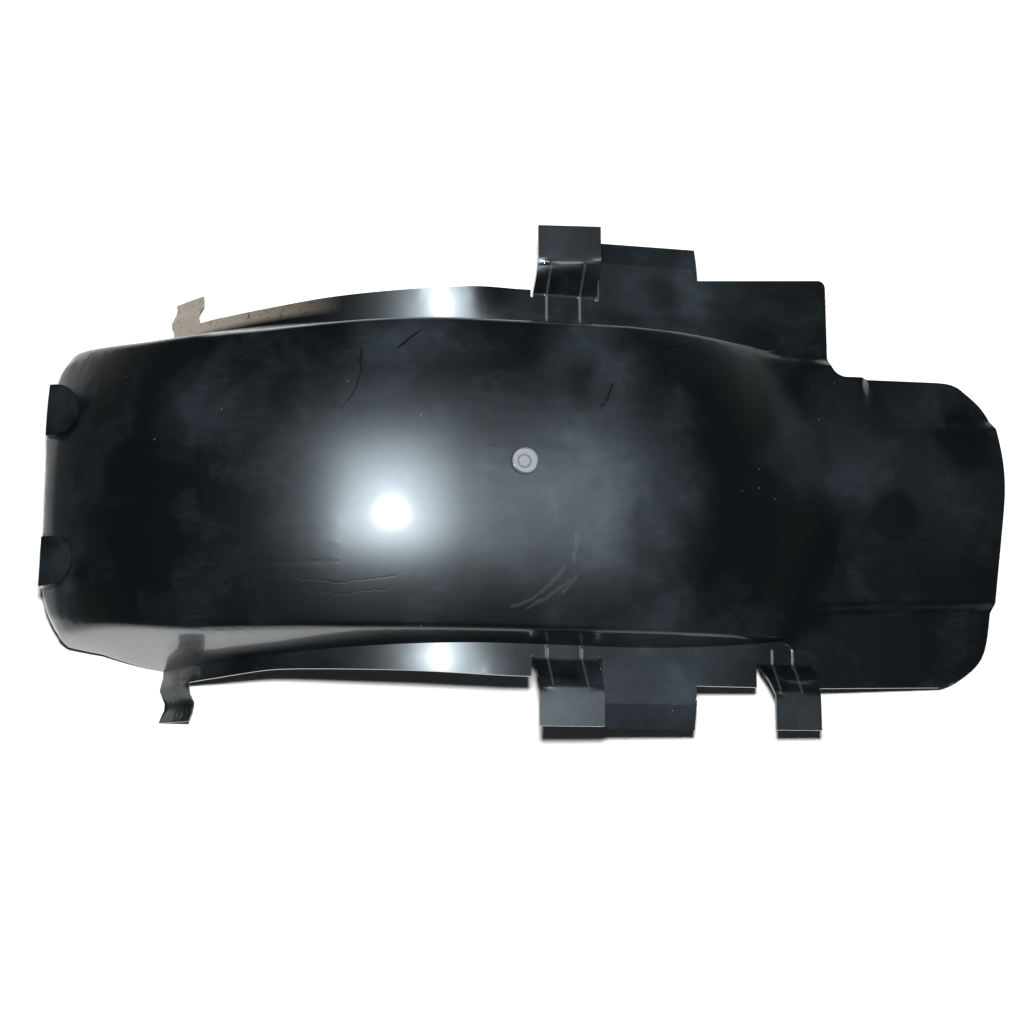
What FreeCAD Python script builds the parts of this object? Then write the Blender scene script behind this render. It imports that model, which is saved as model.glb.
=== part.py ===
import FreeCAD, Part
import math
import os
import Sketcher
from FreeCAD import Placement, Rotation, Vector

doc = FreeCAD.newDocument("rear_fender")

# Driving sizes in millimetres and degrees. World frame: +X to the nose end, +Z up, floor at Z = 0.
SIZES = [
    ("wall", 2.5, "moulded wall"),
    ("centre_along", 2.18, "middle of the length ahead of the drawing's origin"),
    ("end_reach", 299.0, "X of the nose end at the floor"),
    ("tail_reach", 297.0, "distance of the tail end behind the origin"),
    # hood: a bulged section carried along the arch
    ("crest_along", -104.0, "X of the arch's top"),
    ("crest_height", 125.0, "height of the arch's top"),
    ("tail_height", 45.0, "height of the arch at the tail end"),
    ("tail_spare", 10.0, "angle the tail arc runs on before it is trimmed"),
    ("saddle_radius", 420.0, "arch radius in front of the top"),
    ("saddle_slope", 10.3, "slope of the straight saddle"),
    ("saddle_run", 85.0, "length of the straight saddle"),
    ("nose_radius", 225.0, "arch radius where the hood turns down"),
    ("nose_slope", 35.0, "slope of the hood's nose"),
    ("nose_run", 120.0, "length of the nose, mostly under the end plate"),
    ("bulge_radius", 250.0, "cross curvature of the hood"),
    ("bulge_half", 88.0, "half width of the bulge"),
    ("corner_radius", 7.0, "outer radius of the hood's long corners"),
    ("wall_splay", 13.0, "splay of the side walls"),
    ("hood_depth", 98.0, "depth of the hood's section"),
    ("tail_rim", 14.0, "height of the rim at the tail end"),
    # flange and end plate, in a frame tilted about Y at the nose end
    ("plate_slope", 13.0, "slope of the flat flange"),
    ("plate_run", 319.0, "length of the flat flange"),
    ("flange_radius", 216.0, "arch radius of the rear flange"),
    ("left_foot", 113.0, "left reach of the rear flange at the foot tab"),
    ("left_rise", 112.8, "left reach of the rear flange half way up"),
    ("left_top", 116.7, "left reach of the rear flange at its top"),
    ("left_front", 120.0, "left reach of the flat flange"),
    ("right_foot", 116.5, "right reach of the rear flange at the foot tab"),
    ("right_rise", 110.4, "right reach of the rear flange half way up"),
    ("right_top", 113.3, "right reach of the rear flange at its top"),
    ("right_front", 116.0, "right reach of the flat flange"),
    ("notch_half", 104.0, "right reach in the notches at the clips"),
    ("left_wing", 140.0, "left reach of the wing beside the clip"),
    ("left_deck", 136.0, "left reach of the wing in front of it"),
    ("right_wing", 131.0, "right reach of the wing beside the clip"),
    ("right_deck", 119.5, "right reach of the end plate"),
    ("deck_half", 76.5, "left reach of the end plate where it is cut back"),
    ("deck_step", 114.4, "start of the cut-back side, back from the nose end"),
    ("nose_round", 15.0, "corner radius of the nose"),
    ("left_tab", 131.0, "reach of the left foot tab from the centre line"),
    ("right_tab", 138.0, "reach of the right foot tab from the centre line"),
    ("foot_width", 21.0, "width of a foot tab in plan"),
    ("lip_wide", 14.5, "width of a bent lip"),
    ("lip_drop", 5.0, "drop of a bent lip"),
    # end panel
    ("panel_rise", 6.0, "rise of the end panel"),
    ("panel_low", 76.0, "panel's edge on the clip side"),
    ("panel_high", 55.0, "panel's edge on the cut-back side"),
    ("panel_draft", 45.0, "draft of the panel's edges"),
    # clips over the frame rails
    ("clip_reach", 146.0, "right reach of the clips"),
    ("clip_shift", 11.5, "how much further out the left clip stands"),
    ("clip_rise", 14.5, "rise of a clip above the flange"),
    ("clip_ramp", 45.0, "angle of a clip's ramp"),
    ("clip_root", 97.0, "start of a clip on the flange"),
    ("clip_bend", 105.0, "start of the ramp's bend"),
    ("clip_fold", 3.0, "inner radius of the root bend"),
    ("clip_crown", 11.0, "outer radius of the top bend"),
    ("clip_width", 39.0, "width of a mid clip"),
    ("clip_back", 265.2, "front side of a mid clip, back from the nose end"),
    ("third_width", 34.0, "width of the third clip at its root"),
    ("third_back", 131.0, "front side of the third clip, back from the nose end"),
    ("third_taper", 6.0, "taper of the third clip's rear side"),
    ("rib_thick", 2.0, "thickness of the clip gussets"),
    ("rib_start", 96.0, "foot of a gusset"),
    ("rib_inset", 7.0, "gusset to the rear side of its clip"),
    ("rib_pitch", 21.0, "gusset spacing on a mid clip"),
    ("rib_pitch_third", 13.0, "gusset spacing on the third clip"),
    # tail pads
    ("pad_wide", 32.0, "width of a tail pad"),
    ("pad_long", 21.5, "length of a tail pad"),
    ("pad_offset", 48.6, "pad centre from the centreline"),
    ("pad_rise", 8.0, "pad's outer edge above the arch at the tail end"),
    ("pad_slope", 25.0, "slope of the pad's top"),
    ("pad_overhang", -2.5, "reach of a pad past the tail end"),
    # gate mark
    ("gate_along", -2.5, "X of the gate mark"),
    ("gate_side", 4.0, "Y of the gate mark"),
    ("gate_radius", 7.9, "radius of the gate well"),
    ("gate_depth", 1.1, "depth of the gate well"),
    ("gate_disc", 7.2, "radius of the cut sprue's disc"),
    ("gate_nub", 3.7, "radius of the cut sprue"),
]
value = {}
sheet = doc.addObject("Spreadsheet::Sheet", "sizes")
for row, (alias, number, note) in enumerate(SIZES, start=1):
    sheet.set("A%d" % row, alias)
    sheet.set("B%d" % row, str(number))
    sheet.set("C%d" % row, note)
    sheet.setAlias("B%d" % row, alias)
    value[alias] = number
doc.recompute()

TILT = Rotation(Vector(0, 1, 0), value["plate_slope"])
TO_XZ = Rotation(Vector(1, 0, 0), Vector(0, 0, 1), Vector(0, -1, 0))
TO_YZ = Rotation(Vector(0, 1, 0), Vector(0, 0, 1), Vector(1, 0, 0))
START, END, CENTRE = 1, 2, 3


def bind(obj, **expressions):
    """Binds properties to expressions; a double underscore stands for a dot."""
    for path, text in expressions.items():
        obj.setExpression(path.replace("__", "."), str(text))
    return obj


class Outline:
    """A sketch with geometry near its place and dimensions bound to the sheet."""

    def __init__(self, label, placement):
        self.sketch = doc.addObject("Sketcher::SketchObject", label)
        self.sketch.Placement = placement
        self.count = 0

    def line(self, a, b):
        return self.sketch.addGeometry(Part.LineSegment(Vector(a[0], a[1], 0), Vector(b[0], b[1], 0)), False)

    def arc(self, centre, radius, first, last):
        circle = Part.Circle(Vector(centre[0], centre[1], 0), Vector(0, 0, 1), radius)
        return self.sketch.addGeometry(Part.ArcOfCircle(circle, math.radians(first), math.radians(last)), False)

    def rule(self, *args):
        return self.sketch.addConstraint(Sketcher.Constraint(*args))

    def size(self, text, *args):
        index = self.rule(*args)
        self.count += 1
        name = "size_%d" % self.count
        self.sketch.renameConstraint(index, name)
        self.sketch.setExpression("Constraints." + name, text)

    def point(self, geo, end, x_text, y_text, x, y):
        """Fixes a point by its two distances from the sketch's origin."""
        if x_text is not None:
            if abs(x) < 1e-9 and x_text == "0":
                self.rule("PointOnObject", geo, end, -2)
            else:
                self.size(x_text, "DistanceX", -1, 1, geo, end, x)
        if y_text is not None:
            if abs(y) < 1e-9 and y_text == "0":
                self.rule("PointOnObject", geo, end, -1)
            else:
                self.size(y_text, "DistanceY", -1, 1, geo, end, y)

    def polygon(self, corners):
        """corners: (x value, x text, y value, y text) in order."""
        lines = []
        total = len(corners)
        for i in range(total):
            a, b = corners[i], corners[(i + 1) % total]
            lines.append(self.line((a[0], a[2]), (b[0], b[2])))
        for i in range(total):
            self.rule("Coincident", lines[i], END, lines[(i + 1) % total], START)
        for i, (x, x_text, y, y_text) in enumerate(corners):
            self.point(lines[i], START, x_text, y_text, x, y)
        return lines


def corner(x_text, y_text):
    """A polygon corner given as two expressions of plain aliases."""
    return (number_of(x_text), x_text, number_of(y_text), y_text)


def number_of(text):
    """Value of a sum of aliases and numbers, for the sketch's first placing."""
    total, sign = 0.0, 1.0
    for token in text.replace("-", " - ").replace("+", " + ").split():
        if token in "+-":
            sign = 1.0 if token == "+" else -1.0
            continue
        name = token.replace("sizes.", "")
        total += sign * (value[name] if name in value else float(name))
        sign = 1.0
    return total


def extrude(label, sketch, forward, back="0", taper=None):
    solid = doc.addObject("Part::Extrusion", label)
    solid.Base = sketch
    solid.DirMode = "Normal"
    solid.Solid = True
    bind(solid, LengthFwd=forward, LengthRev=back)
    if taper is not None:
        bind(solid, TaperAngle=taper)
    return solid


def fuse(label, *shapes):
    joined = doc.addObject("Part::MultiFuse", label)
    joined.Shapes = list(shapes)
    joined.Refine = True
    return joined


def cut(label, base, tool):
    result = doc.addObject("Part::Cut", label)
    result.Base = base
    result.Tool = tool
    result.Refine = True
    return result


def common(label, *shapes):
    result = doc.addObject("Part::MultiCommon", label)
    result.Shapes = list(shapes)
    return result


def box(label, length, width, height, base, turn=None):
    solid = doc.addObject("Part::Box", label)
    bind(solid, Length=length, Width=width, Height=height)
    if turn is not None:
        solid.Placement = Placement(Vector(), Rotation(Vector(0, 1, 0), number_of(turn)))
        bind(solid, Placement__Rotation__Angle=turn)
    for axis, text in zip("xyz", base):
        solid.setExpression("Placement.Base." + axis, text)
    return solid


def tilted(sketch, drop, upright, along=0.0):
    """Places a sketch in the flange's frame: origin at the nose end's foot, x down the slope."""
    turn = TILT.multiply(upright) if upright is not None else TILT
    sketch.Placement = Placement(Vector(value["end_reach"], 0, 0) + TILT.multVec(Vector(along, 0, drop)), turn)
    return sketch


def mirrored(label, source):
    copy = doc.addObject("Part::Mirroring", label)
    copy.Source = source
    copy.Normal = Vector(0, 1, 0)
    return copy


# The tail arc passes through the top, level, and through the tail end at its height
TAIL_RUN = "(sizes.tail_reach + sizes.crest_along)"
TAIL_DROP = "(sizes.crest_height - sizes.tail_height)"
TAIL_RADIUS = "((%s^2 + %s^2) / (2 * %s))" % (TAIL_RUN, TAIL_DROP, TAIL_DROP)
PAD_HEIGHT = "(sizes.tail_height + sizes.pad_rise)"


# Arch paths, both starting at the top
def tail_path():
    top = (value["crest_along"], value["crest_height"])
    run, drop = value["tail_reach"] + value["crest_along"], value["crest_height"] - value["tail_height"]
    radius = (run ** 2 + drop ** 2) / (2 * drop)
    sweep = math.degrees(math.asin(run / radius)) + value["tail_spare"]
    out = Outline("tail_path", Placement(Vector(), TO_XZ))
    arc = out.arc((top[0], top[1] - radius), radius, 90, 90 + sweep)
    out.point(arc, START, "sizes.crest_along", "sizes.crest_height", *top)
    out.rule("Vertical", arc, START, arc, CENTRE)
    out.size(TAIL_RADIUS, "Radius", arc, radius)
    out.size("sizes.crest_along - %s * sin(asin(%s / %s) + sizes.tail_spare * 1 deg)" % (
        TAIL_RADIUS, TAIL_RUN, TAIL_RADIUS), "DistanceX", -1, 1, arc, END,
        top[0] - radius * math.sin(math.radians(sweep)))
    return out.sketch


def nose_path():
    top = Vector(value["crest_along"], value["crest_height"], 0)
    low, steep = math.radians(value["saddle_slope"]), math.radians(value["nose_slope"])
    first, second = value["saddle_radius"], value["nose_radius"]
    out = Outline("nose_path", Placement(Vector(), TO_XZ))
    hub = top - Vector(0, first, 0)
    saddle = hub + Vector(math.sin(low), math.cos(low), 0) * first
    turn = saddle + Vector(math.cos(low), -math.sin(low), 0) * value["saddle_run"]
    pivot = turn - Vector(math.sin(low), math.cos(low), 0) * second
    drop = pivot + Vector(math.sin(steep), math.cos(steep), 0) * second
    tip = drop + Vector(math.cos(steep), -math.sin(steep), 0) * value["nose_run"]
    arc = out.arc(hub, first, 90 - value["saddle_slope"], 90)
    flat = out.line(saddle, turn)
    bend = out.arc(pivot, second, 90 - value["nose_slope"], 90 - value["saddle_slope"])
    nose = out.line(drop, tip)
    out.rule("Tangent", arc, START, flat, START)
    out.rule("Tangent", flat, END, bend, END)
    out.rule("Tangent", bend, START, nose, START)
    out.point(arc, END, "sizes.crest_along", "sizes.crest_height", top.x, top.y)
    out.rule("Vertical", arc, END, arc, CENTRE)
    out.size("sizes.saddle_radius", "Radius", arc, first)
    out.size("sizes.nose_radius", "Radius", bend, second)
    out.size("sizes.saddle_run", "Distance", flat, value["saddle_run"])
    out.size("sizes.nose_run", "Distance", nose, value["nose_run"])
    out.size("-sizes.saddle_slope", "Angle", flat, -low)
    out.size("-sizes.nose_slope", "Angle", nose, -steep)
    return out.sketch


def hood_section(label, inset):
    """Closed section of the hood at the arch's top; inset moves every face inwards."""
    shift = value["wall"] if inset else 0.0
    shrink = " - sizes.wall" if inset else ""
    bulge, bend = value["bulge_radius"] - shift, value["corner_radius"] - shift
    half = value["bulge_half"] * bulge / value["bulge_radius"]
    lean = math.asin(half / bulge)
    splay = math.radians(value["wall_splay"])
    out = Outline(label, Placement(Vector(value["crest_along"], 0, value["crest_height"] - shift), TO_YZ))
    bind(out.sketch, Placement__Base__x="sizes.crest_along",
         Placement__Base__z="sizes.crest_height" + shrink)
    end = Vector(half, bulge * (math.cos(lean) - 1), 0)
    hub = end - Vector(math.sin(lean), math.cos(lean), 0) * bend
    side = hub + Vector(math.cos(splay), math.sin(splay), 0) * bend
    deep = -value["hood_depth"]
    foot = Vector(side.x + (side.y - deep) * math.tan(splay), deep, 0)
    lean_deg, splay_deg = math.degrees(lean), value["wall_splay"]
    top = out.arc((0, -bulge), bulge, 90 - lean_deg, 90 + lean_deg)
    right = out.arc(hub, bend, splay_deg, 90 - lean_deg)
    left = out.arc((-hub.x, hub.y), bend, 90 + lean_deg, 180 - splay_deg)
    right_wall = out.line(side, foot)
    left_wall = out.line((-side.x, side.y), (-foot.x, foot.y))
    floor = out.line(foot, (-foot.x, foot.y))
    out.rule("Tangent", top, START, right, END)
    out.rule("Tangent", top, END, left, START)
    out.rule("Tangent", right, START, right_wall, START)
    out.rule("Tangent", left, END, left_wall, START)
    out.rule("Coincident", right_wall, END, floor, START)
    out.rule("Coincident", left_wall, END, floor, END)
    out.rule("PointOnObject", top, CENTRE, -2)
    out.size("sizes.bulge_radius" + shrink, "DistanceY", top, CENTRE, -1, 1, bulge)
    out.size("sizes.bulge_radius" + shrink, "Radius", top, bulge)
    half_text = "sizes.bulge_half * (sizes.bulge_radius%s) / sizes.bulge_radius" % shrink
    out.size(half_text, "DistanceX", -1, 1, top, START, half)
    out.size(half_text, "DistanceX", top, END, -1, 1, half)
    out.size("sizes.corner_radius" + shrink, "Radius", right, bend)
    out.rule("Equal", right, left)
    out.size("-90 + sizes.wall_splay", "Angle", right_wall, math.radians(-90 + splay_deg))
    out.size("-90 - sizes.wall_splay", "Angle", left_wall, math.radians(-90 - splay_deg))
    out.rule("Horizontal", floor)
    out.size("sizes.hood_depth", "DistanceY", floor, START, -1, 1, -deep)
    return out.sketch


def sweep(label, section, path, edges):
    solid = doc.addObject("Part::Sweep", label)
    solid.Sections = [section]
    solid.Spine = (path, edges)
    solid.Solid = True
    solid.Frenet = False
    return solid


tail, nose = tail_path(), nose_path()
outer, inner = hood_section("outer_section", False), hood_section("inner_section", True)
NOSE_EDGES = ["Edge1", "Edge2", "Edge3", "Edge4"]


# Outline of the flat flange with its wings, notches and the end plate
def plate_outline(label, height, along=0.0):
    """Extruded plan of the flat flange, with its corners rounded."""
    out = Outline(label + "_plan", Placement())
    tilted(out.sketch, 0, None, along)
    back, notch, deck = "-sizes.plate_run", "sizes.notch_half", "sizes.deck_half"
    left, right, wing, wing_right = ("sizes.left_front", "-sizes.right_front", "sizes.left_wing",
                                     "-sizes.right_wing")
    clip_rear = "-sizes.clip_back - sizes.clip_width - 1.5"
    clip_front = "-sizes.clip_back + 2.5"
    third_rear = "-sizes.third_back - sizes.third_width - 1"
    third_front, end, step = "-sizes.third_back", "-sizes.right_deck", "-sizes.deck_step"
    names = [
        (back, left), (clip_rear, left), (clip_rear, notch + " + sizes.clip_shift"),
        (clip_front, notch + " + sizes.clip_shift"), (clip_front, wing), ("-199", wing),
        ("-199", "sizes.left_deck - 3"), (step, "sizes.left_deck + 3"), (step, deck + " - 1"), ("-30", deck + " + 0.5"),
        ("-7", deck + " - 16.5"), ("2.5", "20"), ("-15.5", "-100"), ("-42", end + " + 2.5"), (third_front, end),
        (third_front, "-" + notch), (third_rear, "-" + notch), (third_rear, end), ("-204", end),
        ("-204", wing_right), (clip_front, wing_right), (clip_front, "-" + notch), (clip_rear, "-" + notch),
        (clip_rear, right), (back, right),
    ]
    corners = [corner(x, y) for x, y in names]
    out.polygon(corners)
    slab = extrude(label + "_slab", out.sketch, height)
    doc.recompute()
    rounds = {5: 3.0, 7: 4.0, 8: 9.0, 9: value["nose_round"], 10: 25.0, 11: 110.0, 12: 24.0, 13: 18.0, 19: 6.0}
    where = slab.Shape
    edges = []
    for index, radius in rounds.items():
        foot = out.sketch.Placement.multVec(Vector(corners[index][0], corners[index][2], 0))
        for number, edge in enumerate(where.Edges, start=1):
            ends = [v.Point for v in edge.Vertexes]
            upright = abs((ends[1] - ends[0]).normalize().dot(TILT.multVec(Vector(0, 0, 1)))) > 0.99
            if upright and min((e - foot).Length for e in ends) < 0.01:
                edges.append((number, radius, radius))
    solid = doc.addObject("Part::Fillet", label)
    solid.Base = slab
    solid.Edges = edges
    return solid


# End panel: a draughted block for the outside and a lower one for the inside, both cut to the plate's plan
def panel_block(label, inside):
    drop = value["wall"] * (1 - math.sqrt(2)) if inside else 0.0
    out = Outline(label + "_plan", Placement())
    tilted(out.sketch, drop, None)
    far = "-sizes.plate_run / 2 - 8"
    near = -value["plate_run"] / 2 - 8
    low, high, side = value["panel_low"], value["panel_high"], value["deck_half"] + 14
    out.polygon([
        (near, far, -low - 2, "-sizes.panel_low - 2"),
        (30, "30", -low + 6, "-sizes.panel_low + 6"),
        (30, "30", high + 2, "sizes.panel_high + 2"),
        (-22, "-22", high, "sizes.panel_high"),
        (-77, "-77", high - 4, "sizes.panel_high - 4"),
        (-83, "-83", high, "sizes.panel_high"),
        (-87, "-87", side, "sizes.deck_half + 14"),
        (near, far, side, "sizes.deck_half + 14"),
    ])
    height = "sizes.panel_rise + sizes.wall * sqrt(2) - sizes.wall + 0.01" if inside else \
        "sizes.panel_rise + sizes.wall"
    block = extrude(label + "_block", out.sketch, height, "0", "-sizes.panel_draft")
    bound = plate_outline(label + "_bound", "sizes.panel_rise + 2 * sizes.wall", -value["wall"] if inside else 0.0)
    if inside:
        deep = box(label + "_deep", "sizes.plate_run", "400", "10", (
            "sizes.end_reach - (sizes.plate_run + sizes.wall) * cos(sizes.plate_slope) - 10 * sin(sizes.plate_slope)",
            "-200", "(sizes.plate_run + sizes.wall) * sin(sizes.plate_slope) - 10 * cos(sizes.plate_slope)"),
            "sizes.plate_slope")
        bound = fuse(label + "_room", bound, deep)
    return common(label, block, bound)


hood_outer = fuse("hood_outer", sweep("tail_outer", outer, tail, ["Edge1"]),
                  sweep("nose_outer", outer, nose, NOSE_EDGES), panel_block("panel_outer", False))
hood_inner = fuse("hood_inner", sweep("tail_inner", inner, tail, ["Edge1"]),
                  sweep("nose_inner", inner, nose, NOSE_EDGES), panel_block("panel_inner", True))

# Trimming bodies
below_floor = box("below_floor", "900", "500", "200", ("-450", "-250", "-200"))
behind_tail = box("behind_tail", "100", "400", "300", ("-sizes.tail_reach - 100", "-200", "-50"))
under_plate = box("under_plate", "sizes.plate_run + 60", "500", "200", (
    "sizes.end_reach - sizes.plate_run * cos(sizes.plate_slope) - 200 * sin(sizes.plate_slope)", "-250",
    "sizes.plate_run * sin(sizes.plate_slope) - 200 * cos(sizes.plate_slope)"), "sizes.plate_slope")
ARC_X = "sizes.end_reach - sizes.plate_run * cos(sizes.plate_slope)" \
    " - (sizes.flange_radius - sizes.wall) * sin(sizes.plate_slope)"
ARC_Z = "sizes.plate_run * sin(sizes.plate_slope)" \
    " - (sizes.flange_radius - sizes.wall) * cos(sizes.plate_slope)"


def drum(label, radius):
    solid = doc.addObject("Part::Cylinder", label)
    solid.Placement = Placement(Vector(), Rotation(Vector(1, 0, 0), -90))
    bind(solid, Radius=radius, Height="500", Placement__Base__x=ARC_X, Placement__Base__y="-250",
         Placement__Base__z=ARC_Z)
    return solid


under_arch = drum("under_arch", "sizes.flange_radius - sizes.wall")
FOOT_BACK = "(%s) - sqrt((sizes.flange_radius)^2 - (%s)^2)" % (ARC_X, ARC_Z)
RIM_SLOPE = "atan2(sizes.tail_rim; sizes.tail_reach + (%s))" % FOOT_BACK
rim_cut = box("rim_cut", "120", "400", "80", (
    "(%s) - 120 * cos(%s) - 80 * sin(%s)" % (FOOT_BACK, RIM_SLOPE, RIM_SLOPE), "-200",
    "120 * sin(%s) - 80 * cos(%s)" % (RIM_SLOPE, RIM_SLOPE)))
rim_cut.Placement = Placement(rim_cut.Placement.Base, Rotation(Vector(0, 1, 0), 10))
bind(rim_cut, Placement__Rotation__Angle=RIM_SLOPE)
hood_trim = fuse("hood_trim", below_floor, behind_tail, under_plate, under_arch, rim_cut)
hood = cut("hood", cut("hood_shell", hood_outer, hood_inner), hood_trim)


# Rear flange and its two foot tabs: slices of one drum
def band(label, window):
    ring = cut(label + "_ring", drum(label + "_rim", "sizes.flange_radius"),
               drum(label + "_core", "sizes.flange_radius - sizes.wall"))
    return common(label, ring, window)


def rear_plan():
    """Plan of the rear flange, standing on the flange's frame so that it ends square with the flat part."""
    out = Outline("rear_plan", Placement())
    tilted(out.sketch, 0, None)
    spots = (("-sizes.plate_run", "front"), ("-sizes.plate_run - 55", "top"), ("-sizes.plate_run - 133", "rise"),
             ("-sizes.plate_run - 196", "foot"), ("-sizes.plate_run - sizes.flange_radius", "foot"))
    left = [corner(x, "sizes.left_" + name) for x, name in spots]
    right = [corner(x, "-sizes.right_" + name) for x, name in reversed(spots)]
    out.polygon(left + right)
    return extrude("rear_window", out.sketch, "5", "sizes.flange_radius - sizes.wall")


foot_window = box("foot_window", "sizes.foot_width + 4", "sizes.left_tab + sizes.right_tab",
                  "sizes.flange_radius", ("(%s) - 4" % FOOT_BACK, "-sizes.right_tab", "-20"))
rear_flange = band("rear_flange", rear_plan())
foot_tabs = band("foot_tabs", foot_window)


# Bent lips on the outer edges of the wings beside the mid clips
def lip(label, wing_name, front):
    out = Outline(label + "_profile", Placement())
    tilted(out.sketch, 0, TO_YZ)
    wing, wide, drop, wall = value[wing_name], value["lip_wide"], value["lip_drop"], value["wall"]
    edge, wing_text = wing - 1, "sizes." + wing_name
    out.polygon([
        (edge - 2, wing_text + " - 3", 0, "0"),
        (edge, wing_text + " - 1", 0, "0"),
        (wing + wide - 0.8, wing_text + " + sizes.lip_wide - 0.8", -drop, "-sizes.lip_drop"),
        (wing + wide, wing_text + " + sizes.lip_wide", wall - drop - 0.2, "sizes.wall - sizes.lip_drop - 0.2"),
        (edge + 0.4, wing_text + " - 0.6", wall, "sizes.wall"),
        (edge - 2, wing_text + " - 3", wall, "sizes.wall"),
    ])
    return extrude(label, out.sketch, "-%s" % front, "sizes.clip_back - 2.5")


# Clips: one profile with two bends, and gussets in its root
def clip_profile(label, shift="0"):
    out = Outline(label, Placement())
    tilted(out.sketch, 0, TO_YZ)
    wall, rise, aside = value["wall"], value["clip_rise"], number_of(shift)
    reach = value["clip_reach"] + aside
    ramp = math.radians(value["clip_ramp"])
    fold, crown = value["clip_fold"], value["clip_crown"]
    root, bend = value["clip_root"], value["clip_bend"] + aside
    low_hub = Vector(bend, wall + fold, 0)
    a = low_hub + Vector(math.sin(ramp), -math.cos(ramp), 0) * fold
    climb = (rise - (fold + crown) * (1 - math.cos(ramp))) / math.sin(ramp)
    b = a + Vector(math.cos(ramp), math.sin(ramp), 0) * climb
    high_hub = b + Vector(math.sin(ramp), -math.cos(ramp), 0) * crown
    low_out, high_in = fold + wall, crown - wall
    c = low_hub + Vector(math.sin(ramp), -math.cos(ramp), 0) * low_out
    d = high_hub - Vector(math.sin(ramp), -math.cos(ramp), 0) * high_in
    degrees = value["clip_ramp"]
    top_flat = out.line((root, wall), (bend, wall))
    top_low = out.arc(low_hub, fold, -90, -90 + degrees)
    top_ramp = out.line(a, b)
    top_high = out.arc(high_hub, crown, 90, 90 + degrees)
    top_arm = out.line((high_hub.x, wall + rise), (reach, wall + rise))
    tip = out.line((reach, wall + rise), (reach, rise))
    low_arm = out.line((reach, rise), (high_hub.x, rise))
    low_high = out.arc(high_hub, high_in, 90, 90 + degrees)
    low_ramp = out.line(d, c)
    low_low = out.arc(low_hub, low_out, -90, -90 + degrees)
    low_flat = out.line((bend, 0), (root, 0))
    heel = out.line((root, 0), (root, wall))
    for rule in (
        (top_flat, END, top_low, START), (top_low, END, top_ramp, START), (top_ramp, END, top_high, END),
        (top_high, START, top_arm, START), (low_arm, END, low_high, START), (low_high, END, low_ramp, START),
        (low_ramp, END, low_low, END), (low_low, START, low_flat, START),
    ):
        out.rule("Tangent", *rule)
    for rule in ((top_arm, END, tip, START), (tip, END, low_arm, START), (low_flat, END, heel, START),
                 (heel, END, top_flat, START), (top_low, CENTRE, low_low, CENTRE),
                 (top_high, CENTRE, low_high, CENTRE)):
        out.rule("Coincident", *rule)
    out.rule("Horizontal", top_flat)
    out.rule("Vertical", tip)
    out.rule("Vertical", heel)
    out.point(heel, START, "sizes.clip_root", "0", root, 0)
    out.size("sizes.wall", "DistanceY", heel, START, heel, END, wall)
    out.size("sizes.clip_bend + " + shift, "DistanceX", -1, 1, top_flat, END, bend)
    out.size("sizes.clip_fold", "Radius", top_low, fold)
    out.size("sizes.clip_crown", "Radius", top_high, crown)
    out.size("sizes.clip_crown - sizes.wall", "Radius", low_high, high_in)
    out.size("sizes.clip_ramp", "Angle", top_ramp, ramp)
    out.point(tip, START, "sizes.clip_reach + " + shift, "sizes.wall + sizes.clip_rise", reach, wall + rise)
    for level in (top_arm, low_arm, low_flat):
        out.rule("Horizontal", level)
    return out.sketch


def gusset(label, rear, shift="0"):
    out = Outline(label + "_profile", Placement())
    tilted(out.sketch, 0, TO_YZ)
    foot, rise, wall = value["rib_start"] + number_of(shift) / 2, value["clip_rise"], value["wall"]
    bend = value["clip_bend"] + number_of(shift)
    foot_text, bend_text = "sizes.rib_start + %s / 2" % shift, "sizes.clip_bend + %s" % shift
    top, top_text = bend + rise + 4, bend_text + " + sizes.clip_rise + 4"
    out.polygon([
        (foot, foot_text, wall / 2, "sizes.wall / 2"),
        (bend + 2, bend_text + " + 2", wall / 2, "sizes.wall / 2"),
        (top, top_text, rise + wall / 2, "sizes.clip_rise + sizes.wall / 2"),
        (top, top_text, rise + wall + 0.4, "sizes.clip_rise + sizes.wall + 0.4"),
        (bend, bend_text, wall + 1.2, "sizes.wall + 1.2"),
        (foot, foot_text, wall + 1.2, "sizes.wall + 1.2"),
    ])
    return extrude(label, out.sketch, "-(%s) + sizes.rib_thick" % rear, rear)


def mid_clip(label, shift="0"):
    """A mid clip with its two gussets."""
    body = extrude(label + "_body", clip_profile(label + "_profile", shift), "-sizes.clip_back",
                   "sizes.clip_back + sizes.clip_width")
    rear = "sizes.clip_back + sizes.clip_width - sizes.rib_inset"
    return fuse(label, body, gusset(label + "_gusset_rear", rear, shift),
                gusset(label + "_gusset_front", rear + " - sizes.rib_pitch", shift))


def third_clip():
    body = extrude("third_body", clip_profile("third_profile"), "-sizes.third_back",
                   "sizes.third_back + sizes.third_width")
    out = Outline("third_plan", Placement())
    tilted(out.sketch, 0, None)
    rear = "-sizes.third_back - sizes.third_width"
    out.polygon([corner(x, y) for x, y in (
        (rear, "sizes.clip_root - 2"), (rear, "sizes.clip_bend"),
        (rear + " + sizes.third_taper", "sizes.clip_bend + sizes.clip_rise + 3"),
        (rear + " + sizes.third_taper", "sizes.clip_reach + 4"),
        ("-sizes.third_back", "sizes.clip_reach + 4"), ("-sizes.third_back", "sizes.clip_root - 2"))])
    window = extrude("third_window", out.sketch, "sizes.clip_rise + 20", "10")
    first = "sizes.third_back + sizes.third_width - sizes.third_taper - 3"
    return fuse("third_clip_upright", common("third_cut", body, window), gusset("third_gusset_rear", first),
                gusset("third_gusset_front", first + " - sizes.rib_pitch_third"))


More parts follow.
